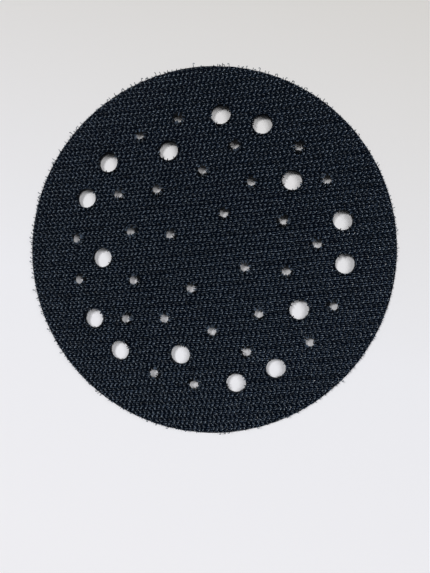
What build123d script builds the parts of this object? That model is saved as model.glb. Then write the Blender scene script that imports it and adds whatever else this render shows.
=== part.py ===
"""Sanding interface pad: one thin disc with woven hooks above, loops below and 44 dust holes.

Millimetres. The origin is the centre of the underside, +Z points up through the hooks,
and the rows of hooks run along +X.
"""

import os
from math import sqrt

from build123d import *

os.makedirs("parts", exist_ok=True)

# Disc, and the two bonded cloths that make up its thickness below the hooks
pad_diameter = 127.0
loop_cloth_thickness = 0.85
hook_cloth_thickness = 0.55

# Hooks: woven in straight rows, each pair of rows a low ridge that stops short of every cut edge
hook_height = 1.4
row_pitch = 1.425
rows_per_ridge = 2
gap_between_ridges = 0.7
ridge_setback = 0.3
shortest_ridge = 1.5

# Dust holes: one sector of the layout, repeated round the pad
sectors = 5
layout_turn = -1.19
large_hole_diameter = 7.06
small_hole_diameter = 4.1
outer_ring_radius = 46.65
outer_pair_angle = 9.0
middle_ring_radius = 37.2
inner_ring_radius = 27.8
centre_ring_radius = 14.1
centre_hole_count = 4
centre_ring_turn = 61.5

# A hole or pair of one size lies half a sector from its neighbours of the other size
half_sector = 180.0 / sectors

# Rings of evenly spaced holes: ring radius, hole diameter, number of holes, first hole's angle
dust_rings = [
    (outer_ring_radius, large_hole_diameter, sectors, layout_turn - outer_pair_angle),
    (outer_ring_radius, large_hole_diameter, sectors, layout_turn + outer_pair_angle),
    (outer_ring_radius, small_hole_diameter, sectors, layout_turn + half_sector - outer_pair_angle),
    (outer_ring_radius, small_hole_diameter, sectors, layout_turn + half_sector + outer_pair_angle),
    (middle_ring_radius, small_hole_diameter, sectors, layout_turn),
    (middle_ring_radius, large_hole_diameter, sectors, layout_turn + half_sector),
    (inner_ring_radius, small_hole_diameter, 2 * sectors, layout_turn + half_sector / 2),
    (centre_ring_radius, small_hole_diameter, centre_hole_count, centre_ring_turn),
]

# Centre and radius of every dust hole
dust_holes = [
    (place.position, hole_diameter / 2)
    for ring_radius, hole_diameter, count, first_angle in dust_rings
    for place in PolarLocations(ring_radius, count, start_angle=first_angle).locations
]

cloth_thickness = loop_cloth_thickness + hook_cloth_thickness
ridge_pitch = rows_per_ridge * row_pitch
ridge_width = ridge_pitch - gap_between_ridges
ridges_each_side = int(pad_diameter / 2 / ridge_pitch)


def half_chord(radius, offset):
    """Half the width of a circle, measured along a line that passes its centre at an offset."""
    return sqrt(max(radius**2 - offset**2, 0.0))


def clear_stretches(y):
    """Start and end of each stretch of the ridge at y that lies in the rim and clears every hole."""
    half_width = ridge_width / 2
    rim_reach = half_chord(pad_diameter / 2 - ridge_setback, abs(y) - half_width)
    breaks = [(rim_reach, rim_reach)]
    for centre, radius in dust_holes:
        reach = half_chord(radius + ridge_setback, max(abs(y - centre.Y) - half_width, 0.0))
        if reach > 0:
            breaks.append((centre.X - reach, centre.X + reach))
    stretches = []
    start = -rim_reach
    for break_start, break_end in sorted(breaks):
        if break_start - start > shortest_ridge:
            stretches.append((start, break_start))
        start = max(start, break_end)
    return stretches


# Interface pad: both cloths as one die-cut sheet, with the ridges of hooks on its upper face
with BuildPart() as interface_pad:
    with BuildSketch(Plane.XY):
        Circle(pad_diameter / 2)
        for centre, radius in dust_holes:
            with Locations(centre):
                Circle(radius, mode=Mode.SUBTRACT)
    extrude(amount=cloth_thickness)

    with BuildSketch(Plane.XY.offset(cloth_thickness)):
        for ridge in range(-ridges_each_side, ridges_each_side + 1):
            for start, end in clear_stretches(ridge * ridge_pitch):
                with Locations(((start + end) / 2, ridge * ridge_pitch)):
                    Rectangle(end - start, ridge_width)
        Circle(pad_diameter / 2 - ridge_setback, mode=Mode.INTERSECT)
    extrude(amount=hook_height)

interface_pad.part.label = "interface_pad"
export_step(interface_pad.part, "parts/interface_pad.step")
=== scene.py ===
"""Looks of the sanding interface pad: hook cloth above, loop cloth below, dust holes right through.

Metres, in the frame of the solid: the origin is the centre of the underside, +Z points up
through the hooks, and the woven rows of hooks run along +X.
"""

from math import cos, pi, radians, sin, tau

import bmesh
import bpy
import numpy as np
from mathutils import Matrix, Vector
from mathutils.geometry import delaunay_2d_cdt


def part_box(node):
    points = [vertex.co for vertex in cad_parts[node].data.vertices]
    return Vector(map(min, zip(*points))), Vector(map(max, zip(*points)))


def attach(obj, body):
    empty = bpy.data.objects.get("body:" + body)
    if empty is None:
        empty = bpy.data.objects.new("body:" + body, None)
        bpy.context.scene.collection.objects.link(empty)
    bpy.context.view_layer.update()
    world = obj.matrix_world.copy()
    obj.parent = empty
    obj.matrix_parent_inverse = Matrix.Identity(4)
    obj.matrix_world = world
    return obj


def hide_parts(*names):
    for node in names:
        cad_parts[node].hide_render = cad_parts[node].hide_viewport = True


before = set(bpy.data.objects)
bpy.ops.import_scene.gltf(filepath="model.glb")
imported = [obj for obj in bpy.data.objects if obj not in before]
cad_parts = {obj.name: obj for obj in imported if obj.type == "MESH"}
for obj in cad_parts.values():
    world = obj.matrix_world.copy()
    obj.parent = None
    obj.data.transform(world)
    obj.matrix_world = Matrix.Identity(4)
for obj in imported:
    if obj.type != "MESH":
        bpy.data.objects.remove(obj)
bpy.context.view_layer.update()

MM = 0.001

# Levels of the bonded cloths above the bench
PAD_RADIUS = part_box("interface_pad")[1].x
PAD_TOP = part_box("interface_pad")[1].z
LOOP_CLOTH_BACK = 0.4 * MM
LOOP_CLOTH_TOP = 0.85 * MM
HOOK_CLOTH_TOP = 1.4 * MM
HOOK_HEIGHT = PAD_TOP - HOOK_CLOTH_TOP

# Rows of hooks: they bow a little towards both ends, and their pattern repeats every four rows
ROW_PITCH = 1.425 * MM
HOOK_PITCH = 1.58 * MM
ROW_BOW = 0.5 * MM
# A row's tone is painted light and shade: rows whose hooks face right are painted lighter, rows whose hooks
# face left darker
ROW_PATTERN = [
    {"faces_left": False, "slant": 1.0, "shift": 0.0, "tone_and_painted_light": 0.5},
    {"faces_left": True, "slant": 1.1, "shift": 0.3, "tone_and_painted_light": -0.3},
    {"faces_left": False, "slant": 0.8, "shift": 0.5, "tone_and_painted_light": 0.4},
    {"faces_left": True, "slant": 0.9, "shift": 0.8, "tone_and_painted_light": -0.9},
]
SLANT_AT_CENTRE = radians(12)
SLANT_AT_RIM = radians(44)
LEG_ALONG_ROW = 0.5
LEG_ACROSS_ROWS = 0.42

# Dust holes: ring radius, hole diameter, number of holes, first hole's angle
# An angle is in degrees, as in the solid's own source
SECTORS = 5
HALF_SECTOR = 180 / SECTORS
LAYOUT_TURN = -1.19
OUTER_PAIR = 9.0
LARGE_HOLE = 7.06 * MM
SMALL_HOLE = 4.1 * MM
OUTER_RING = 46.65 * MM
MIDDLE_RING = 37.2 * MM
INNER_RING = 27.8 * MM
CENTRE_RING = 14.1 * MM
CENTRE_HOLES = 4
CENTRE_TURN = 61.5
DUST_RINGS = [
    (OUTER_RING, LARGE_HOLE, SECTORS, LAYOUT_TURN - OUTER_PAIR),
    (OUTER_RING, LARGE_HOLE, SECTORS, LAYOUT_TURN + OUTER_PAIR),
    (OUTER_RING, SMALL_HOLE, SECTORS, LAYOUT_TURN + HALF_SECTOR - OUTER_PAIR),
    (OUTER_RING, SMALL_HOLE, SECTORS, LAYOUT_TURN + HALF_SECTOR + OUTER_PAIR),
    (MIDDLE_RING, SMALL_HOLE, SECTORS, LAYOUT_TURN),
    (MIDDLE_RING, LARGE_HOLE, SECTORS, LAYOUT_TURN + HALF_SECTOR),
    (INNER_RING, SMALL_HOLE, 2 * SECTORS, LAYOUT_TURN + HALF_SECTOR / 2),
    (CENTRE_RING, SMALL_HOLE, CENTRE_HOLES, CENTRE_TURN),
]

# The rows climb to the right of the picture by this angle
ROW_CLIMB = radians(4.5)


def hole_rows():
    """Centre x, centre y and radius of every dust hole, one row each."""
    rows = []
    for ring_radius, diameter, count, first_angle in DUST_RINGS:
        for turn in radians(first_angle) + tau / count * np.arange(count):
            rows.append((ring_radius * cos(turn), ring_radius * sin(turn), diameter / 2))
    return np.array(rows)


HOLES = hole_rows()


def hole_gap(points):
    """Distance from each point to the edge of the nearest dust hole; negative inside one."""
    away = np.hypot(points[:, None, 0] - HOLES[:, 0], points[:, None, 1] - HOLES[:, 1])
    return (away - HOLES[:, 2]).min(axis=1)


def rim_gap(points):
    """Distance from each point out to the rim; negative outside it."""
    return PAD_RADIUS - np.hypot(points[:, 0], points[:, 1])


def row_bow(x):
    """How far a row lies above its middle at x."""
    return ROW_BOW * (x / PAD_RADIUS) ** 2


def row_points(pitch, rows_each_side, row_pitch, shift_of_row):
    """Evenly spaced points along bowed rows: x, y and the number of the row."""
    found = []
    reach = int(PAD_RADIUS / pitch) + 2
    for row in range(-rows_each_side, rows_each_side + 1):
        x = (np.arange(-reach, reach + 1) + shift_of_row(row)) * pitch
        y = (row + 0.5) * row_pitch + row_bow(x)
        found.append(np.column_stack([x, y, np.full(len(x), row)]))
    return np.vstack(found)


# Shader groups: effects that more than one finish uses


def shader_node(tree, kind, inputs=(), **settings):
    """A shader or geometry node with its settings, and its inputs linked or set by name or number."""
    made = tree.nodes.new(kind)
    for name, value in settings.items():
        setattr(made, name, value)
    for key, value in dict(inputs).items():
        if isinstance(value, bpy.types.NodeSocket):
            tree.links.new(value, made.inputs[key])
        else:
            made.inputs[key].default_value = value
    return made


def maths(tree, operation, *values):
    """The result of a Math node on up to three sockets or numbers."""
    return shader_node(tree, "ShaderNodeMath", enumerate(values), operation=operation).outputs[0]


def group_tree(name, inputs, outputs):
    """A shader node group with its sockets, its input node and its output node."""
    tree = bpy.data.node_groups.new(name, "ShaderNodeTree")
    for label, kind, value in inputs:
        tree.interface.new_socket(label, in_out="INPUT", socket_type=kind).default_value = value
    for label, kind in outputs:
        tree.interface.new_socket(label, in_out="OUTPUT", socket_type=kind)
    return tree, tree.nodes.new("NodeGroupInput").outputs, tree.nodes.new("NodeGroupOutput")


# Noise in the groups: its scales for each metre, its layers of detail, and how far it shows
YARN_WANDER = 900.0
# The next two are painted shade in a weave's gaps and painted light on its crests, as shares of the dye
PAINTED_GAP_SHADE = 0.45
PAINTED_CREST_LIGHT = 1.1
PATCH_SCALE = 70.0
PATCH_DETAIL = 3.0
GRAIN_SCALE = 1600.0
FINE_DETAIL = 2.0
WORN_SPREAD = 0.25


def noise(tree, place, scale, detail):
    """Soft noise at a place, between 0 and 1."""
    return shader_node(tree, "ShaderNodeTexNoise",
                       {"Vector": place, "Scale": scale, "Detail": detail}).outputs[0]


def yarn_weave_group():
    """A plain weave of yarns: its height, and painted shade that darkens the gaps between yarns and lightens
    their crests.
    """
    tree, given, result = group_tree(
        "yarn_weave",
        [("Warp Count", "NodeSocketFloat", 1.0), ("Weft Count", "NodeSocketFloat", 1.0),
         ("Unevenness", "NodeSocketFloat", 0.2)],
        [("Height", "NodeSocketFloat"), ("Painted Weave Shading", "NodeSocketFloat")],
    )
    place = shader_node(tree, "ShaderNodeTexCoord").outputs["Object"]
    drift = maths(tree, "MULTIPLY", noise(tree, place, YARN_WANDER, FINE_DETAIL), given["Unevenness"])
    axes = shader_node(tree, "ShaderNodeSeparateXYZ", {0: place}).outputs
    warp = maths(tree, "ADD", maths(tree, "MULTIPLY", axes["X"], given["Warp Count"]), drift)
    weft = maths(tree, "ADD", maths(tree, "MULTIPLY", axes["Y"], given["Weft Count"]), drift)
    over = maths(tree, "ABSOLUTE", maths(tree, "SINE", maths(tree, "MULTIPLY", warp, pi)))
    under = maths(tree, "ABSOLUTE", maths(tree, "COSINE", maths(tree, "MULTIPLY", weft, pi)))
    height = maths(tree, "MAXIMUM", maths(tree, "MULTIPLY", over, under),
                   maths(tree, "MULTIPLY", maths(tree, "SUBTRACT", 1.0, over), under))
    tree.links.new(height, result.inputs["Height"])
    # Painted shade: the weave's gaps are darkened and its crests lightened
    painted_shade = shader_node(tree, "ShaderNodeMapRange",
                        {"Value": height, "To Min": PAINTED_GAP_SHADE, "To Max": PAINTED_CREST_LIGHT})
    tree.links.new(painted_shade.outputs[0], result.inputs["Painted Weave Shading"])
    return tree


def uneven_dye_group():
    """One dye as it comes out on yarn: slow patches, fine grain and each strand's own tone, where the tone
    of hooks also holds painted light and shade by row.
    """
    tree, given, result = group_tree(
        "uneven_dye",
        [("Dye", "NodeSocketColor", (0.02, 0.02, 0.02, 1)), ("Patchiness", "NodeSocketFloat", 0.2),
         ("Strand Contrast", "NodeSocketFloat", 0.0), ("Roughness", "NodeSocketFloat", 0.5)],
        [("Color", "NodeSocketColor"), ("Roughness", "NodeSocketFloat")],
    )
    place = shader_node(tree, "ShaderNodeTexCoord").outputs["Object"]
    patches = noise(tree, place, PATCH_SCALE, PATCH_DETAIL)
    grain = noise(tree, place, GRAIN_SCALE, FINE_DETAIL)
    # Each strand's tone, which for hooks holds painted light and shade by row
    tone_and_painted_light = shader_node(tree, "ShaderNodeAttribute", attribute_name="tone_and_painted_light").outputs["Fac"]
    cloud = maths(tree, "SUBTRACT", maths(tree, "ADD", patches, grain), 1.0)
    level = maths(tree, "ADD", maths(tree, "MULTIPLY", cloud, given["Patchiness"]), 1.0)
    level = maths(tree, "ADD", level, maths(tree, "MULTIPLY", tone_and_painted_light, given["Strand Contrast"]))
    shaded = shader_node(tree, "ShaderNodeVectorMath", {0: given["Dye"]}, operation="SCALE")
    tree.links.new(level, shaded.inputs["Scale"])
    tree.links.new(shaded.outputs[0], result.inputs["Color"])
    worn = maths(tree, "ADD", given["Roughness"], maths(tree, "MULTIPLY", cloud, WORN_SPREAD))
    tree.links.new(worn, result.inputs["Roughness"])
    return tree


# Finishes


STRAND_PATCHINESS = 0.3
CLOTH_PATCHINESS = 0.5


def finish_material(name, dye, roughness, patchiness, strand_contrast, fixed):
    """A dyed finish; fixed holds the values that are the same all over. Returns it with its parts."""
    material = bpy.data.materials.new(name)
    material.use_nodes = True
    tree = material.node_tree
    shader = tree.nodes["Principled BSDF"]
    for socket, value in fixed.items():
        shader.inputs[socket].default_value = value
    colour = shader_node(tree, "ShaderNodeGroup", node_tree=bpy.data.node_groups["uneven_dye"])
    for socket, value in (("Dye", dye), ("Patchiness", patchiness), ("Strand Contrast", strand_contrast),
                          ("Roughness", roughness)):
        colour.inputs[socket].default_value = value
    tree.links.new(colour.outputs["Color"], shader.inputs["Base Color"])
    tree.links.new(colour.outputs["Roughness"], shader.inputs["Roughness"])
    return material, tree, shader, colour


def strand_finish(name, dye, roughness, strand_contrast, painted_root_shade, fixed):
    """A yarn that stands up from the cloth, each strand a little different, with painted shade that darkens
    it towards its root.
    """
    material, tree, shader, colour = finish_material(name, dye, roughness, STRAND_PATCHINESS,
                                                     strand_contrast, fixed)
    place = shader_node(tree, "ShaderNodeTexCoord").outputs["Object"]
    height = shader_node(tree, "ShaderNodeSeparateXYZ", {0: place}).outputs["Z"]
    # Painted shade: the colour darkens from the top of the pad down to the hook cloth, standing in for the
    # shade deep among the hooks
    painted_shade = shader_node(tree, "ShaderNodeMapRange",
                        {"Value": height, "From Min": HOOK_CLOTH_TOP, "From Max": PAD_TOP,
                         "To Min": painted_root_shade, "To Max": 1.0})
    painted_root_darkening = shader_node(tree, "ShaderNodeVectorMath", {0: colour.outputs["Color"]}, operation="SCALE")
    tree.links.new(painted_shade.outputs[0], painted_root_darkening.inputs["Scale"])
    tree.links.new(painted_root_darkening.outputs[0], shader.inputs["Base Color"])
    return material


def woven_finish(name, dye, roughness, warp_pitch, weft_pitch, relief, fixed):
    """A woven cloth: dyed yarns with painted shade in the gaps between them and their relief as bump."""
    material, tree, shader, colour = finish_material(name, dye, roughness, CLOTH_PATCHINESS, 0.0, fixed)
    weave = shader_node(tree, "ShaderNodeGroup", node_tree=bpy.data.node_groups["yarn_weave"])
    weave.inputs["Warp Count"].default_value = 1 / warp_pitch
    weave.inputs["Weft Count"].default_value = 1 / weft_pitch
    # Painted shade of the weave, multiplied into the dye
    painted_weave_shading = shader_node(tree, "ShaderNodeVectorMath", {0: colour.outputs["Color"]}, operation="SCALE")
    tree.links.new(weave.outputs["Painted Weave Shading"], painted_weave_shading.inputs["Scale"])
    tree.links.new(painted_weave_shading.outputs[0], shader.inputs["Base Color"])
    bump = shader_node(tree, "ShaderNodeBump", {"Height": weave.outputs["Height"], "Distance": relief})
    tree.links.new(bump.outputs[0], shader.inputs["Normal"])
    return material


# The paper's painted shade runs from the near edge, by way of a turn, to the far right corner, where it is
# darkest
PAPER_ROUGHNESS = 0.8
PAPER_GLOSS = 0.2
PAPER_SLANT = 0.35
PAPER_NEAR = -125 * MM
PAPER_FAR = 108 * MM
PAPER_TURN = 0.43
PAINTED_PAPER_SHADE = [(0.925, 0.918, 0.948, 1), (0.868, 0.866, 0.9, 1), (0.672, 0.654, 0.63, 1)]


def paper_finish():
    """White paper with painted shade that makes it a little greyer and warmer towards the far right corner.
    """
    material = bpy.data.materials.new("bench_paper")
    material.use_nodes = True
    tree = material.node_tree
    shader = tree.nodes["Principled BSDF"]
    shader.inputs["Roughness"].default_value = PAPER_ROUGHNESS
    shader.inputs["Specular IOR Level"].default_value = PAPER_GLOSS
    place = shader_node(tree, "ShaderNodeTexCoord").outputs["Object"]
    axes = shader_node(tree, "ShaderNodeSeparateXYZ", {0: place}).outputs
    far = maths(tree, "ADD", axes["Y"], maths(tree, "MULTIPLY", axes["X"], PAPER_SLANT))
    share = shader_node(tree, "ShaderNodeMapRange",
                        {"Value": far, "From Min": PAPER_NEAR, "From Max": PAPER_FAR})
    # Painted shade: the paper is coloured darker towards the far right corner
    painted_shade_ramp = shader_node(tree, "ShaderNodeValToRGB", {"Fac": share.outputs[0]})
    stops = painted_shade_ramp.color_ramp.elements
    stops.new(PAPER_TURN)
    for stop, colour in zip(stops, PAINTED_PAPER_SHADE):
        stop.color = colour
    tree.links.new(painted_shade_ramp.outputs["Color"], shader.inputs["Base Color"])
    return material


# Cut cloths: a face with every hole, a plain back, and a wall down every cut edge

RIM_STEPS = 900
HOLE_STEPS = 60
CUT_RAGGEDNESS = 0.04 * MM
EDGE_MARGIN = 0.3 * MM
SAME_POINT = 1e-5
WELD_DISTANCE = 0.0001 * MM


def cut_loops(rng):
    """The rim and the hole edges as closed loops of points, a little ragged from the die."""
    loops = []
    for x, y, radius, steps in [(0, 0, PAD_RADIUS, RIM_STEPS), *[(*hole, HOLE_STEPS) for hole in HOLES]]:
        turns = tau / steps * np.arange(steps)
        reach = radius - CUT_RAGGEDNESS * rng.random(steps)
        loops.append(np.column_stack([x + reach * np.cos(turns), y + reach * np.sin(turns)]))
    return loops


def fill_loops(loops, inner_points):
    """Triangles between the rim and the holes, through the inner points too."""
    corners = np.vstack([*loops, inner_points])
    starts = np.cumsum([0, *[len(loop) for loop in loops]])
    rings = [list(range(start, start + len(loop))) for start, loop in zip(starts, loops)]
    found = delaunay_2d_cdt([Vector(place / MM) for place in corners], [], rings, 0, SAME_POINT)
    kept = [face for face, within in zip(found[2], found[5]) if list(within) == [0]]
    return np.array([tuple(place) for place in found[0]]) * MM, np.array(kept)


def cut_cloth(name, loops, top_inner, back_inner, top_level, back_level):
    """A perforated cloth as one closed mesh between two surfaces, each a height over x and y."""
    corners, faces = [], []
    for inner, level, order in ((top_inner, top_level, 1), (back_inner, back_level, -1)):
        places, triangles = fill_loops(loops, inner)
        faces += (triangles[:, ::order] + len(corners)).tolist()
        corners += np.column_stack([places, level(places[:, 0], places[:, 1])]).tolist()
    for loop in loops:
        first, count = len(corners), len(loop)
        for level in (top_level, back_level):
            corners += np.column_stack([loop, level(loop[:, 0], loop[:, 1])]).tolist()
        for here in range(count):
            there = (here + 1) % count
            faces.append([first + count + here, first + count + there, first + there, first + here])
    mesh = bpy.data.meshes.new(name)
    mesh.from_pydata(corners, [], faces)
    welded = bmesh.new()
    welded.from_mesh(mesh)
    bmesh.ops.remove_doubles(welded, verts=welded.verts, dist=WELD_DISTANCE)
    bmesh.ops.recalc_face_normals(welded, faces=welded.faces)
    welded.to_mesh(mesh)
    welded.free()
    return mesh


def new_object(name, mesh, material):
    """A mesh as an object in the scene, with one material."""
    if material:
        mesh.materials.append(material)
    piece = bpy.data.objects.new(name, mesh)
    bpy.context.scene.collection.objects.link(piece)
    return piece


# Hook cloth: the rib under each row, and the lip round each hole
RIB_DEPTH = 0.22 * MM
RIB_STEPS = 4
RIB_POINT_PITCH = 1.2 * MM
LIP_HEIGHT = 0.75 * MM
LIP_WIDTH = 0.3 * MM
LIP_STEPS = 24
LIP_RINGS = [0.2 * MM, 0.45 * MM]


def rib_level(x, y):
    """Top of the hook cloth: a rib under each row of hooks, and a lip drawn up round each hole."""
    across = (y - row_bow(x)) / ROW_PITCH - 0.5
    lip = np.exp(-(hole_gap(np.column_stack([x, y])) / LIP_WIDTH) ** 2)
    return HOOK_CLOTH_TOP - RIB_DEPTH * (0.5 - 0.5 * np.cos(tau * across)) + LIP_HEIGHT * lip


def lip_points():
    """Points round every hole that carry the lip down to the cloth."""
    rings = []
    for x, y, radius in HOLES:
        for ring, gap in enumerate(LIP_RINGS):
            turns = tau / LIP_STEPS * (np.arange(LIP_STEPS) + ring / 2)
            reach = radius + gap
            rings.append(np.column_stack([x + reach * np.cos(turns), y + reach * np.sin(turns)]))
    return np.vstack(rings)


def flat_level(height):
    """A level surface at one height."""
    return lambda x, y: np.full(len(x), height)


HOOK_CLOTH_WEAVE = {
    "dye": (0.0004, 0.0026, 0.0072, 1), "roughness": 0.75, "warp_pitch": 0.4 * MM, "weft_pitch": 0.36 * MM,
    "relief": 0.08 * MM, "fixed": {"Specular IOR Level": 0.035},
}
LOOP_CLOTH_KNIT = {
    "dye": (0.018, 0.019, 0.022, 1), "roughness": 0.85, "warp_pitch": 0.5 * MM, "weft_pitch": 0.45 * MM,
    "relief": 0.1 * MM, "fixed": {"Sheen Weight": 0.2, "Specular IOR Level": 0.25},
}


def hook_cloth(loops):
    """The woven ground that carries the hooks."""
    lines = int(PAD_RADIUS / ROW_PITCH * RIB_STEPS) + 2
    grid = row_points(RIB_POINT_PITCH, lines, ROW_PITCH / RIB_STEPS, lambda row: row % 2 / 2)[:, :2]
    clear = grid[(rim_gap(grid) > EDGE_MARGIN) & (hole_gap(grid) > LIP_RINGS[-1] + EDGE_MARGIN)]
    inner = np.vstack([clear, lip_points()])
    mesh = cut_cloth("hook_cloth", loops, inner, np.empty((0, 2)), rib_level, flat_level(LOOP_CLOTH_TOP))
    return new_object("hook_cloth", mesh, woven_finish("hook_cloth_weave", **HOOK_CLOTH_WEAVE))


# Loop cloth: its back is a little uneven
PILE_GRID = 2.4 * MM
PILE_UNEVENNESS = 0.06 * MM
PILE_WAVES = (1.7, 2.3)


def loop_cloth(loops):
    """The knitted cloth under the bond, whose back carries the loops."""
    rows = int(PAD_RADIUS / PILE_GRID) + 1
    grid = row_points(PILE_GRID, rows, PILE_GRID, lambda row: row % 2 / 2)[:, :2]
    inner = grid[(rim_gap(grid) > EDGE_MARGIN) & (hole_gap(grid) > EDGE_MARGIN)]

    def back(x, y):
        along, across = PILE_WAVES
        return (LOOP_CLOTH_BACK
                + PILE_UNEVENNESS * np.sin(x / PILE_GRID * along) * np.sin(y / PILE_GRID * across))

    mesh = cut_cloth("loop_cloth", loops, np.empty((0, 2)), inner, flat_level(LOOP_CLOTH_TOP), back)
    return new_object("loop_cloth", mesh, woven_finish("loop_cloth_knit", **LOOP_CLOTH_KNIT))


# Strands: trees that set a shaped strand on each seat


def strand_tree(name, sizes):
    """A geometry tree with its named sizes. Returns the tree, its inputs by name and its output."""
    tree = bpy.data.node_groups.new(name, "GeometryNodeTree")
    tree.interface.new_socket("Seats", in_out="INPUT", socket_type="NodeSocketGeometry")
    for label, kind in sizes:
        tree.interface.new_socket(label, in_out="INPUT", socket_type=kind)
    tree.interface.new_socket("Strand Material", in_out="INPUT", socket_type="NodeSocketMaterial")
    tree.interface.new_socket("Strands", in_out="OUTPUT", socket_type="NodeSocketGeometry")
    return tree, tree.nodes.new("NodeGroupInput").outputs, tree.nodes.new("NodeGroupOutput")


def bent_path(tree, count, x, z):
    """A curve of so many points in the XZ plane, with x and z given as sockets over the point's number."""
    line = shader_node(tree, "GeometryNodeCurvePrimitiveLine")
    points = shader_node(tree, "GeometryNodeResampleCurve", {"Curve": line.outputs[0], "Count": count})
    place = shader_node(tree, "ShaderNodeCombineXYZ", {"X": x, "Z": z})
    return shader_node(tree, "GeometryNodeSetPosition",
                       {"Geometry": points.outputs[0], "Position": place.outputs[0]}).outputs[0]


def round_strand(tree, path, sides, radius):
    """A round strand along a path, closed at both ends."""
    section = shader_node(tree, "GeometryNodeCurvePrimitiveCircle", {"Resolution": sides, "Radius": radius})
    return shader_node(tree, "GeometryNodeCurveToMesh",
                       {"Curve": path, "Profile Curve": section.outputs[0], "Fill Caps": True}).outputs[0]


def on_seats(tree, given, strand, result):
    """One strand on every seat, turned and scaled by the seat's own values, then made real."""
    turn = shader_node(tree, "GeometryNodeInputNamedAttribute", {"Name": "turn"}, data_type="FLOAT_VECTOR")
    size = shader_node(tree, "GeometryNodeInputNamedAttribute", {"Name": "size"}, data_type="FLOAT_VECTOR")
    rotation = shader_node(tree, "FunctionNodeEulerToRotation", {0: turn.outputs[0]})
    seated = shader_node(tree, "GeometryNodeInstanceOnPoints",
                         {"Points": given["Seats"], "Instance": strand, "Rotation": rotation.outputs[0],
                          "Scale": size.outputs[0]})
    real = shader_node(tree, "GeometryNodeRealizeInstances", {0: seated.outputs[0]})
    smooth = shader_node(tree, "GeometryNodeSetShadeSmooth", {0: real.outputs[0]})
    finished = shader_node(tree, "GeometryNodeSetMaterial",
                           {"Geometry": smooth.outputs[0], "Material": given["Strand Material"]})
    tree.links.new(finished.outputs[0], result.inputs[0])


def hook_tree():
    """A hook of stiff yarn on each seat: a leg that arches over."""
    tree, given, result = strand_tree("woven_hooks", [
        ("Hook Height", "NodeSocketFloat"), ("Arch Radius", "NodeSocketFloat"),
        ("Arch Angle", "NodeSocketFloat"), ("Yarn Radius", "NodeSocketFloat"),
        ("Path Points", "NodeSocketInt"), ("Sides", "NodeSocketInt"),
    ])
    number = shader_node(tree, "GeometryNodeInputIndex").outputs[0]
    past_leg = maths(tree, "MAXIMUM", maths(tree, "SUBTRACT", number, 1.0), 0.0)
    share = maths(tree, "DIVIDE", past_leg, maths(tree, "SUBTRACT", given["Path Points"], 2.0))
    angle = maths(tree, "MULTIPLY", share, given["Arch Angle"])
    leg = maths(tree, "SUBTRACT", maths(tree, "SUBTRACT", given["Hook Height"], given["Arch Radius"]),
                given["Yarn Radius"])
    leg = maths(tree, "MULTIPLY", maths(tree, "MINIMUM", number, 1.0), leg)
    rise = maths(tree, "ADD", leg, maths(tree, "MULTIPLY", maths(tree, "SINE", angle), given["Arch Radius"]))
    reach = maths(tree, "MULTIPLY", maths(tree, "SUBTRACT", 1.0, maths(tree, "COSINE", angle)),
                  given["Arch Radius"])
    hook = round_strand(tree, bent_path(tree, given["Path Points"], reach, rise), given["Sides"],
                        given["Yarn Radius"])
    on_seats(tree, given, hook, result)
    return tree


def loop_tree(name):
    """A small loop of yarn on each seat, both feet in the cloth."""
    tree, given, result = strand_tree(name, [
        ("Loop Height", "NodeSocketFloat"), ("Loop Width", "NodeSocketFloat"),
        ("Yarn Radius", "NodeSocketFloat"), ("Path Points", "NodeSocketInt"), ("Sides", "NodeSocketInt"),
    ])
    number = shader_node(tree, "GeometryNodeInputIndex").outputs[0]
    share = maths(tree, "DIVIDE", number, maths(tree, "SUBTRACT", given["Path Points"], 1.0))
    angle = maths(tree, "MULTIPLY", share, pi)
    half_width = maths(tree, "MULTIPLY", given["Loop Width"], 0.5)
    out = maths(tree, "MULTIPLY", maths(tree, "COSINE", angle), half_width)
    down = maths(tree, "MULTIPLY", maths(tree, "SINE", angle), given["Loop Height"])
    strand = round_strand(tree, bent_path(tree, given["Path Points"], out, down), given["Sides"],
                          given["Yarn Radius"])
    on_seats(tree, given, strand, result)
    return tree


def cut_end_tree():
    """A cut end of yarn on each seat: it stands up and curls over to one side."""
    tree, given, result = strand_tree("cut_yarn_ends", [
        ("Length", "NodeSocketFloat"), ("Curl", "NodeSocketFloat"),
        ("Yarn Radius", "NodeSocketFloat"), ("Path Points", "NodeSocketInt"), ("Sides", "NodeSocketInt"),
    ])
    number = shader_node(tree, "GeometryNodeInputIndex").outputs[0]
    share = maths(tree, "DIVIDE", number, maths(tree, "SUBTRACT", given["Path Points"], 1.0))
    rise = maths(tree, "MULTIPLY", share, given["Length"])
    aside = maths(tree, "MULTIPLY", maths(tree, "MULTIPLY", share, share), given["Curl"])
    strand = round_strand(tree, bent_path(tree, given["Path Points"], aside, rise), given["Sides"],
                          given["Yarn Radius"])
    on_seats(tree, given, strand, result)
    return tree


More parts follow.
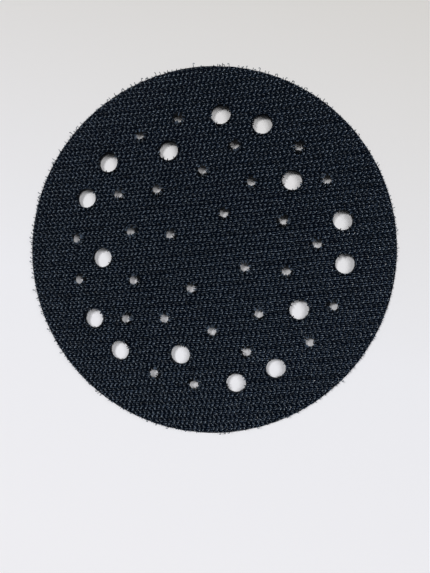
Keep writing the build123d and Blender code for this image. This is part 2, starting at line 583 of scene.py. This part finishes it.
def strands(name, tree, seats, turns, sizes, tones_and_painted_light, values, material):
    """Runs a strand tree on seats with their own turn, size and tone, where the tone of hooks also holds
    painted light by row, and keeps the result as a mesh.
    """
    mesh = bpy.data.meshes.new(name + "_seats")
    mesh.from_pydata(seats.tolist(), [], [])
    for label, kind, data in (("turn", "FLOAT_VECTOR", turns), ("size", "FLOAT_VECTOR", sizes),
                              ("tone_and_painted_light", "FLOAT", tones_and_painted_light)):
        field = "value" if kind == "FLOAT" else "vector"
        mesh.attributes.new(label, kind, "POINT").data.foreach_set(field, np.ravel(data).astype(np.float32))
    carrier = new_object(name, mesh, None)
    modifier = carrier.modifiers.new(tree.name, "NODES")
    modifier.node_group = tree
    values = {**values, "Strand Material": material}
    for socket in tree.interface.items_tree:
        if socket.in_out == "INPUT" and socket.name in values:
            modifier[socket.identifier] = values[socket.name]
    bpy.context.view_layer.update()
    made = bpy.data.meshes.new_from_object(carrier.evaluated_get(bpy.context.evaluated_depsgraph_get()))
    made.name = name
    carrier.modifiers.remove(modifier)
    carrier.data = made
    return carrier


MOST_SCATTER = 2


def scattered(rng, *shape):
    """Random amounts about zero, none of them far out."""
    return rng.normal(size=shape).clip(-MOST_SCATTER, MOST_SCATTER)


# Hooks and cut legs. A share called whole is the chance that a hook past a cut edge isn't clipped
# SCATTER_WAYS are the shares of a seat's scatter along its row and across it
YARN_RADIUS = 0.12 * MM
ARCH_RADIUS = 0.25 * MM
ARCH_ANGLE = radians(205)
CLIPPED_ANGLE = radians(75)
LEG_HEIGHT = 1.05 * MM
LEG_LEAN = 0.34 * MM
LEG_PATH_POINTS = 4
HOOK_PATH_POINTS = 9
HOOK_SIDES = 5
SEAT_MARGIN = 0.05 * MM
SEAT_SCATTER = 0.085 * MM
SCATTER_WAYS = (1.0, 0.6)
TURN_SCATTER = radians(17)
TILT_SCATTER = radians(5)
HEIGHT_SCATTER = 0.05
WHOLE_AT_RIM = 0.5
RIM_CONTRAST = 0.8
WHOLEST_SIDE = radians(135)
WHOLE_AT_HOLES = 0.5
RIM_SPLAY = radians(32)
RIM_SPLAY_REACH = 0.7 * MM


def row_seats(rng, along, across):
    """Place, kind of row, slant and facing side of every strand whose foot is in the cloth."""
    rows = int(PAD_RADIUS / ROW_PITCH) + 1
    kinds_of_row = len(ROW_PATTERN)

    def shift_of_row(row):
        return ROW_PATTERN[row % kinds_of_row]["shift"] + along

    grid = row_points(HOOK_PITCH, rows, ROW_PITCH, shift_of_row)
    grid[:, 1] += across * ROW_PITCH
    grid[:, :2] += SEAT_SCATTER * scattered(rng, len(grid), 2) * SCATTER_WAYS
    grid = grid[(rim_gap(grid) > SEAT_MARGIN) & (hole_gap(grid) > SEAT_MARGIN)]
    kinds = grid[:, 2].astype(int) % kinds_of_row
    out = np.hypot(grid[:, 0], grid[:, 1]) / PAD_RADIUS
    slants = SLANT_AT_CENTRE + (SLANT_AT_RIM - SLANT_AT_CENTRE) * out
    slants *= np.array([row["slant"] for row in ROW_PATTERN])[kinds]
    slants += TURN_SCATTER * rng.normal(size=len(grid))
    faces_left = np.array([row["faces_left"] for row in ROW_PATTERN])[kinds]
    return grid[:, :2], kinds, slants, faces_left


def wholeness(headings):
    """How many hooks stay whole at each heading round the rim, as a share of the mean."""
    return 1 + RIM_CONTRAST * np.cos(headings - WHOLEST_SIDE)


def rim_splay(places, turns):
    """Tilts that lean the strands beside the rim outwards, most on the side where most hooks stay whole."""
    headings = np.arctan2(places[:, 1], places[:, 0])
    side = wholeness(headings) / (1 + RIM_CONTRAST)
    lean = RIM_SPLAY * side * np.exp(-rim_gap(places) / RIM_SPLAY_REACH)
    way = headings - turns
    return lean[:, None] * np.column_stack([-np.sin(way), np.cos(way)])


def row_strands(rng, places, kinds, turns):
    """Seats, turns, sizes and tones of strands that stand on the hook cloth."""
    count = len(places)
    seats = np.column_stack([places, np.full(count, HOOK_CLOTH_TOP - RIB_DEPTH / 2)])
    tilts = TILT_SCATTER * scattered(rng, count, 2)
    tilts += rim_splay(places, turns)
    heights = 1 - HEIGHT_SCATTER * rng.random(count)
    sizes = np.column_stack([np.ones(count), np.ones(count), heights])
    # Painted light and shade by row, with each strand's own random tone on top
    tones_and_painted_light = np.array([row["tone_and_painted_light"] for row in ROW_PATTERN])[kinds] + scattered(rng, count)
    return seats, np.column_stack([tilts, turns]), sizes, tones_and_painted_light


def hook_rows(rng, material):
    """All hooks, as one piece for each of the four kinds of row, and the clipped ones apart."""
    tree = hook_tree()
    places, kinds, slants, faces_left = row_seats(rng, 0, 0)
    turns = np.where(faces_left, pi - slants, slants)
    tips = places + 2 * ARCH_RADIUS * np.column_stack([np.cos(turns), np.sin(turns)])
    chance = rng.random(len(places))
    whole_at_rim = WHOLE_AT_RIM * wholeness(np.arctan2(places[:, 1], places[:, 0]))
    clipped = (((rim_gap(tips) < 0) & (chance > whole_at_rim))
               | ((hole_gap(tips) < 0) & (chance > WHOLE_AT_HOLES)))
    fields = row_strands(rng, places, kinds, turns)
    values = {
        "Hook Height": HOOK_HEIGHT + RIB_DEPTH / 2, "Arch Radius": ARCH_RADIUS, "Arch Angle": ARCH_ANGLE,
        "Yarn Radius": YARN_RADIUS, "Path Points": HOOK_PATH_POINTS, "Sides": HOOK_SIDES,
    }
    pieces = []
    for kind in range(len(ROW_PATTERN)):
        chosen = (kinds == kind) & ~clipped
        seated = [field[chosen] for field in fields]
        pieces.append(strands(f"hook_row_kind_{kind + 1}", tree, *seated, values, material))
    short = {**values, "Arch Angle": CLIPPED_ANGLE}
    pieces.append(strands("clipped_hooks", tree, *[field[clipped] for field in fields], short, material))
    return pieces


def cut_legs(rng, material):
    """The other leg of every cut loop, between the rows of hooks and leaning the other way."""
    places, kinds, slants, faces_left = row_seats(rng, LEG_ALONG_ROW, LEG_ACROSS_ROWS)
    turns = np.where(faces_left, slants, pi - slants)
    values = {"Length": LEG_HEIGHT, "Curl": LEG_LEAN, "Yarn Radius": YARN_RADIUS,
              "Path Points": LEG_PATH_POINTS, "Sides": HOOK_SIDES}
    return strands("cut_legs", cut_end_tree(), *row_strands(rng, places, kinds, turns), values, material)


# Floats: their places are shares of the hook pitch along a row and of the row pitch across it
FLOAT_HEIGHT = 0.45 * MM
FLOAT_WIDTH = 0.75 * MM
FLOAT_YARN = 0.105 * MM
FLOAT_PATH_POINTS = 4
FLOAT_SIDES = 4
FLOAT_SLANT = 0.4
FLOAT_PLACES = [(0.78, 0.0), (0.05, 0.47)]


def ground_floats(rng, material):
    """Low bends of the ground yarn in the two gaps beside every hook, one piece for each gap."""
    tree = loop_tree("ground_floats")
    values = {"Loop Height": FLOAT_HEIGHT, "Loop Width": FLOAT_WIDTH, "Yarn Radius": FLOAT_YARN,
              "Path Points": FLOAT_PATH_POINTS, "Sides": FLOAT_SIDES}
    pieces = []
    for number, (along, across) in enumerate(FLOAT_PLACES):
        places, kinds, slants, faces_left = row_seats(rng, along, across)
        turns = FLOAT_SLANT * np.where(faces_left, -slants, slants)
        seated = row_strands(rng, places, kinds, turns)
        pieces.append(strands(f"ground_floats_{number + 1}", tree, *seated, values, material))
    return pieces


# Loops of the pile: their sizes run from the least one up by the spread
LOOP_LAYERS = 2
LOOP_PITCH = 1.25 * MM
LOOP_SCATTER = 0.3
LOOP_HEIGHT = 0.7 * MM
LOOP_WIDTH = 1.25 * MM
LOOP_YARN = 0.065 * MM
LOOP_PATH_POINTS = 5
LOOP_SIDES = 3
LOOP_LEAN = radians(67)
LOOP_LEAN_SPREAD = 0.2
LEAST_LOOP = 0.8
LOOP_SIZE_SPREAD = 0.3


def brushed_loops(rng, tree, layer, material):
    """One layer of the loop pile on the underside, brushed over so that it lies low and every way."""
    rows = int(PAD_RADIUS / LOOP_PITCH) + 1
    grid = row_points(LOOP_PITCH, rows, LOOP_PITCH, lambda row: row % 2 / 2)[:, :2]
    grid += LOOP_SCATTER * LOOP_PITCH * scattered(rng, *grid.shape)
    grid = grid[(rim_gap(grid) > EDGE_MARGIN) & (hole_gap(grid) > EDGE_MARGIN)]
    count = len(grid)
    seats = np.column_stack([grid, np.full(count, LOOP_CLOTH_BACK)])
    lean = pi - LOOP_LEAN - LOOP_LEAN_SPREAD * rng.random(count)
    turns = np.column_stack([lean, np.zeros(count), tau * rng.random(count)])
    sizes = np.ones((count, 3)) * (LEAST_LOOP + LOOP_SIZE_SPREAD * rng.random(count))[:, None]
    values = {"Loop Height": LOOP_HEIGHT, "Loop Width": LOOP_WIDTH, "Yarn Radius": LOOP_YARN,
              "Path Points": LOOP_PATH_POINTS, "Sides": LOOP_SIDES}
    return strands(f"brushed_loops_{layer + 1}", tree, seats, turns, sizes, rng.normal(size=count), values,
                   material)


# Loose fibres: droop and turn scatter them by so many radians
FIBRE_LENGTH = 0.55 * MM
FIBRE_CURL = 0.25 * MM
FIBRE_RADIUS = 0.02 * MM
FIBRE_SPACING = 0.55 * MM
FIBRE_DROOP = 0.25
FIBRE_TURN = 0.6
LEAST_FIBRE = 0.3
FIBRE_PATH_POINTS = 4
FIBRE_SIDES = 3


def cut_fibres(rng, material):
    """Short fibres that the die left standing out of the rim and into the holes."""
    seats, headings = [], []
    for x, y, radius, way in [(0, 0, PAD_RADIUS, 1), *[(*hole, -1) for hole in HOLES]]:
        count = int(tau * radius / FIBRE_SPACING)
        turns = tau * rng.random(count)
        heights = rng.uniform(LOOP_CLOTH_TOP, HOOK_CLOTH_TOP, count)
        reach = radius - way * CUT_RAGGEDNESS
        seats.append(np.column_stack([x + reach * np.cos(turns), y + reach * np.sin(turns), heights]))
        headings.append(turns + (0 if way > 0 else pi))
    seats, headings = np.vstack(seats), np.concatenate(headings)
    count = len(seats)
    droops = FIBRE_DROOP * scattered(rng, count)
    headings = headings + FIBRE_TURN * rng.normal(size=count)
    turns = np.column_stack([np.zeros(count), pi / 2 + droops, headings])
    sizes = np.column_stack([rng.uniform(-1, 1, count), np.ones(count), LEAST_FIBRE + rng.random(count)])
    values = {"Length": FIBRE_LENGTH, "Curl": FIBRE_CURL, "Yarn Radius": FIBRE_RADIUS,
              "Path Points": FIBRE_PATH_POINTS, "Sides": FIBRE_SIDES}
    tones_and_painted_light = rng.normal(size=count)
    return strands("cut_fibres", cut_end_tree(), seats, turns, sizes, tones_and_painted_light, values, material)


# Ends at the holes: a few stray further in, and some are light among the dark ones
END_HEIGHT = 0.62 * MM
END_LEAN = 0.66 * MM
END_LEAN_AT_LARGE_HOLES = 0.42
STRAY_SHARE = 0.05
STRAY_LEAN = 0.7
LIGHT_SHARE = 0.3
LIGHT_TONE = 2.0
DARK_TONE = -1.0
END_RADIUS = 0.17 * MM
END_SPACING = 0.25 * MM
END_MARGIN = 0.12 * MM
END_SPACING_SCATTER = 0.4
END_TURN_SCATTER = 0.15
LEAST_END_LEAN = 0.75
END_LEAN_SPREAD = 0.45
END_HEIGHT_SPREAD = 0.25
END_PATH_POINTS = 4
END_SIDES = 5


def hole_ends(rng, material):
    """Cut ends of the ground yarns that stand on the lip of every hole and lean a little into it."""
    seats, headings, leans = [], [], []
    for x, y, radius in HOLES:
        count = int(tau * radius / END_SPACING)
        turns = tau / count * (np.arange(count) + END_SPACING_SCATTER * rng.random(count))
        reach = radius + END_MARGIN
        level = np.full(count, HOOK_CLOTH_TOP + LIP_HEIGHT / 2)
        seats.append(np.column_stack([x + reach * np.cos(turns), y + reach * np.sin(turns), level]))
        headings.append(turns + pi)
        leans.append(np.full(count, END_LEAN_AT_LARGE_HOLES if radius > SMALL_HOLE / 2 else 1.0))
    seats, headings, leans = np.vstack(seats), np.concatenate(headings), np.concatenate(leans)
    count = len(seats)
    turns = np.column_stack([np.zeros((count, 2)), headings + END_TURN_SCATTER * rng.normal(size=count)])
    leans = leans * (LEAST_END_LEAN + END_LEAN_SPREAD * rng.random(count))
    leans = leans + STRAY_LEAN * (rng.random(count) < STRAY_SHARE)
    sizes = np.column_stack([leans, np.ones(count), 1 - END_HEIGHT_SPREAD * rng.random(count)])
    values = {"Length": END_HEIGHT + LIP_HEIGHT / 2, "Curl": END_LEAN, "Yarn Radius": END_RADIUS,
              "Path Points": END_PATH_POINTS, "Sides": END_SIDES}
    tones_and_painted_light = np.where(rng.random(count) < LIGHT_SHARE, LIGHT_TONE, DARK_TONE)
    return strands("hole_ends", cut_end_tree(), seats, turns, sizes, tones_and_painted_light, values, material)


# Bench, lamps and camera

# A lamp's share is the part of a white sheet's brightness that it gives; heading and height in degrees
FLOOR_HALF = 1.5
FLOOR_DROP = 0.02 * MM
AMBIENT = 0.08
AMBIENT_COLOUR = (0.93, 0.97, 1, 1)
BACKGROUND = 0.82
LAMP_DISTANCE = 2.5
LEFT_LAMP = {"heading": 139.0, "height": 62.0, "size": 0.55, "share": 0.475}
RIGHT_LAMP = {"heading": 23.0, "height": 58.0, "size": 1.4, "share": 0.455}
EYE = (11.5 * MM, -11.2 * MM, 127.9 * MM)
AIM = (1.6 * MM, -12.5 * MM, 1.4 * MM)
FOCAL_PIXELS = 366
PICTURE_HEIGHT = 573
SENSOR = 36
NEAREST_SEEN = 0.01


def bench():
    """A sheet of pale paper under the pad."""
    mesh = bpy.data.meshes.new("bench")
    edge = FLOOR_HALF
    corners = [(-edge, -edge), (edge, -edge), (edge, edge), (-edge, edge)]
    mesh.from_pydata([(x, y, -FLOOR_DROP) for x, y in corners], [], [(0, 1, 2, 3)])
    floor = new_object("bench", mesh, paper_finish())


def lamp(name, heading, height, size, share):
    """A soft square lamp aimed at the pad; share is the part of a white sheet's brightness it gives."""
    light = bpy.data.lights.new(name, "AREA")
    light.size = size
    light.energy = share * pi**2 * LAMP_DISTANCE**2 / sin(radians(height))
    out = radians(heading) - ROW_CLIMB
    level = LAMP_DISTANCE * cos(radians(height))
    place = Vector((level * cos(out), level * sin(out), LAMP_DISTANCE * sin(radians(height))))
    body = bpy.data.objects.new(name, light)
    body.matrix_world = Matrix.Translation(place) @ place.to_track_quat("Z", "Y").to_matrix().to_4x4()
    bpy.context.scene.collection.objects.link(body)


def surroundings():
    """A dim even world that lights the pad, shown to the camera and in reflections as a pale wall."""
    world = bpy.data.worlds.new("studio")
    world.use_nodes = True
    tree = world.node_tree
    tree.nodes.clear()
    seen = shader_node(tree, "ShaderNodeBackground", {"Color": (1, 1, 1, 1), "Strength": BACKGROUND})
    lit = shader_node(tree, "ShaderNodeBackground", {"Color": AMBIENT_COLOUR, "Strength": AMBIENT})
    path = shader_node(tree, "ShaderNodeLightPath").outputs
    mirrored = maths(tree, "MAXIMUM", path["Is Glossy Ray"], path["Is Transmission Ray"])
    shown = maths(tree, "MAXIMUM", path["Is Camera Ray"], mirrored)
    mix = shader_node(tree, "ShaderNodeMixShader", {0: shown, 1: lit.outputs[0], 2: seen.outputs[0]})
    shader_node(tree, "ShaderNodeOutputWorld", {"Surface": mix.outputs[0]})
    bpy.context.scene.world = world


def camera():
    """The picture's view: close above the pad, turned so that the rows climb to the right."""
    lens = bpy.data.cameras.new("camera")
    lens.sensor_width = SENSOR
    lens.lens = FOCAL_PIXELS / PICTURE_HEIGHT * SENSOR
    lens.clip_start = NEAREST_SEEN
    body = bpy.data.objects.new("camera", lens)
    back = (Vector(EYE) - Vector(AIM)).normalized()
    picture_up = Vector((sin(ROW_CLIMB), cos(ROW_CLIMB), 0))
    right = picture_up.cross(back).normalized()
    up = back.cross(right)
    body.matrix_world = Matrix.Translation(EYE) @ Matrix((right, up, back)).transposed().to_4x4()
    bpy.context.scene.collection.objects.link(body)
    bpy.context.scene.camera = body


# Yarns: painted shade darkens a yarn that stands on the pad towards its root, down to the given share of its
# dye
SEED = 7
HOOK_NYLON = {
    "dye": (0.142, 0.174, 0.213, 1), "roughness": 0.25, "strand_contrast": 0.3, "painted_root_shade": 0.22,
    "fixed": {"IOR": 1.53, "Specular IOR Level": 0.4},
}
END_YARN = {
    "dye": (0.028, 0.038, 0.054, 1), "roughness": 0.5, "strand_contrast": 0.9, "painted_root_shade": 0.3,
    "fixed": {"Specular IOR Level": 0.1},
}
GROUND_YARN = {
    "dye": (0.039, 0.058, 0.093, 1), "roughness": 0.45, "strand_contrast": 0.3, "painted_root_shade": 1.0,
    "fixed": {"Specular IOR Level": 0.25},
}
LOOP_SOFT_YARN = {
    "dye": (0.022, 0.023, 0.027, 1), "roughness": 0.7, "patchiness": 0.3, "strand_contrast": 0.15,
    "fixed": {"Sheen Weight": 0.3, "Specular IOR Level": 0.3},
}


def dress():
    """Makes every piece of the pad, each with its finish, and says what it rides on."""
    rng = np.random.default_rng(SEED)
    yarn_weave_group()
    uneven_dye_group()
    loops = cut_loops(rng)
    ground = hook_cloth(loops)
    backing = loop_cloth(loops)
    nylon = strand_finish("hook_nylon", **HOOK_NYLON)
    end_yarn = strand_finish("end_yarn", **END_YARN)
    ground_yarn = strand_finish("ground_yarn", **GROUND_YARN)
    soft_yarn = finish_material("loop_yarn", **LOOP_SOFT_YARN)[0]
    hooks = hook_rows(rng, nylon)
    pile_tree = loop_tree("brushed_loops")
    pile = [brushed_loops(rng, pile_tree, layer, soft_yarn) for layer in range(LOOP_LAYERS)]
    fibres = cut_fibres(rng, soft_yarn)
    ends = hole_ends(rng, end_yarn)
    legs = cut_legs(rng, nylon)
    floats = ground_floats(rng, ground_yarn)
    for piece, slot_name in [(ground, "hook_cloth"), (backing, "loop_cloth"), (fibres, "loop_cloth"),
                             (ends, "hook_cloth"), (legs, "hook_yarn"),
                             *[(piece, "loop_cloth") for piece in pile],
                             *[(piece, "hook_yarn") for piece in hooks],
                             *[(piece, "hook_cloth") for piece in floats]]:
        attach(piece, "root")
    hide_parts("interface_pad")
    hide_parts("interface_pad")


bpy.context.scene.view_settings.view_transform = "Standard"
bench()
lamp("left_lamp", **LEFT_LAMP)
lamp("right_lamp", **RIGHT_LAMP)
surroundings()
camera()
dress()
